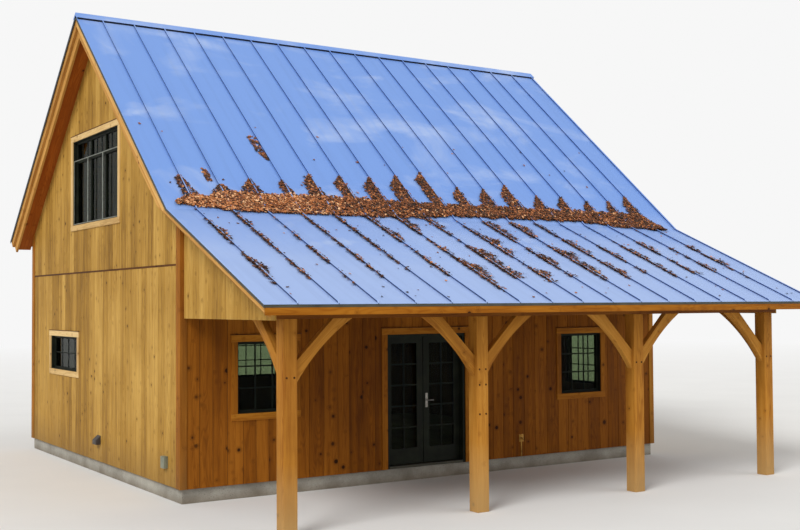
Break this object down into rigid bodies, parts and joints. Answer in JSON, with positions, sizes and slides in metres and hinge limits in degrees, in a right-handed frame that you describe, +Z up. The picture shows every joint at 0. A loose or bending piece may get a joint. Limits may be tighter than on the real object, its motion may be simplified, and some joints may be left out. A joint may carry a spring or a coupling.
{
  "type": "post and beam barn",
  "caption": "Timber barn with board walls and a metal gable roof that runs on, at a lower pitch, over an open porch on braced posts; glazed hinged doors open inward.",
  "frame": {"origin": "at ground level, under the middle of the roof's outline", "axes": "+X along the ridge, to the right as seen from the porch; +Y from the porch to the rear wall; +Z up"},
  "size_m": [9.57, 11.06, 7.4916],
  "materials": {
    "concrete": "rough",
    "board_walls": "stained boards",
    "porch_wall": "stained boards",
    "trim": "stained",
    "dark_trim": "dark stain",
    "timber": "oiled",
    "soffit": "stained boards",
    "roof_metal": "satin",
    "dark_metal": "satin",
    "sash_paint": "satin",
    "glass": "clear",
    "steel": "satin",
    "plastic": "matte",
    "brass": "weathered"
  },
  "bodies": {
    "barn": {"foundation_slab": "concrete", "left_gable_lower": "board_walls", "left_gable_upper": "board_walls", "right_gable_lower": "board_walls", "right_gable_upper": "board_walls", "front_wall": "porch_wall", "front_wall_over_door": "porch_wall", "rear_wall": "board_walls", "corner_boards": "trim", "gable_ledges": "dark_trim", "frame_posts": "timber", "tie_beams": "timber", "roof_beams": "timber", "main_rafters": "timber", "loft_floor": "timber", "porch_posts": "timber", "porch_beam": "timber", "porch_ties": "timber", "knee_braces": "timber", "porch_ledger": "timber", "porch_rafters": "timber", "porch_end_boards": "board_walls", "roof_deck_rear": "soffit", "roof_deck_front": "soffit", "roof_deck_porch": "soffit", "roof_metal_rear": "roof_metal", "roof_metal_front": "roof_metal", "roof_metal_porch": "roof_metal", "ridge_cap": "roof_metal", "rake_boards": "trim", "rake_shadow_boards": "soffit", "rake_edging": "dark_metal", "porch_fascia": "timber", "porch_drip_edge": "dark_metal", "rear_fascia": "trim", "casings": "trim", "window_sashes": "sash_paint", "window_glass": "glass", "door_frame": "sash_paint", "door_threshold": "steel", "door_hinges_frame": "steel", "vent_hood": "plastic", "outlet_box": "plastic", "water_tap": "brass"},
    "left_door": {"door_leaf_left": "sash_paint", "door_glass_left": "glass", "door_hinges_left": "steel"},
    "right_door": {"door_leaf_right": "sash_paint", "door_glass_right": "glass", "door_hinges_right": "steel", "door_handles": "steel"}
  },
  "joints": [
    {"name": "left_door_hinge", "type": "hinge", "parent": "barn", "child": "left_door", "pos_m": [-1.103, -2.112, 1.2], "axis": [0, 0, 1], "range_deg": [0, 90]},
    {"name": "right_door_hinge", "type": "hinge", "parent": "barn", "child": "right_door", "pos_m": [0.293, -2.112, 1.2], "axis": [0, 0, -1], "range_deg": [0, 90]}
  ]
}
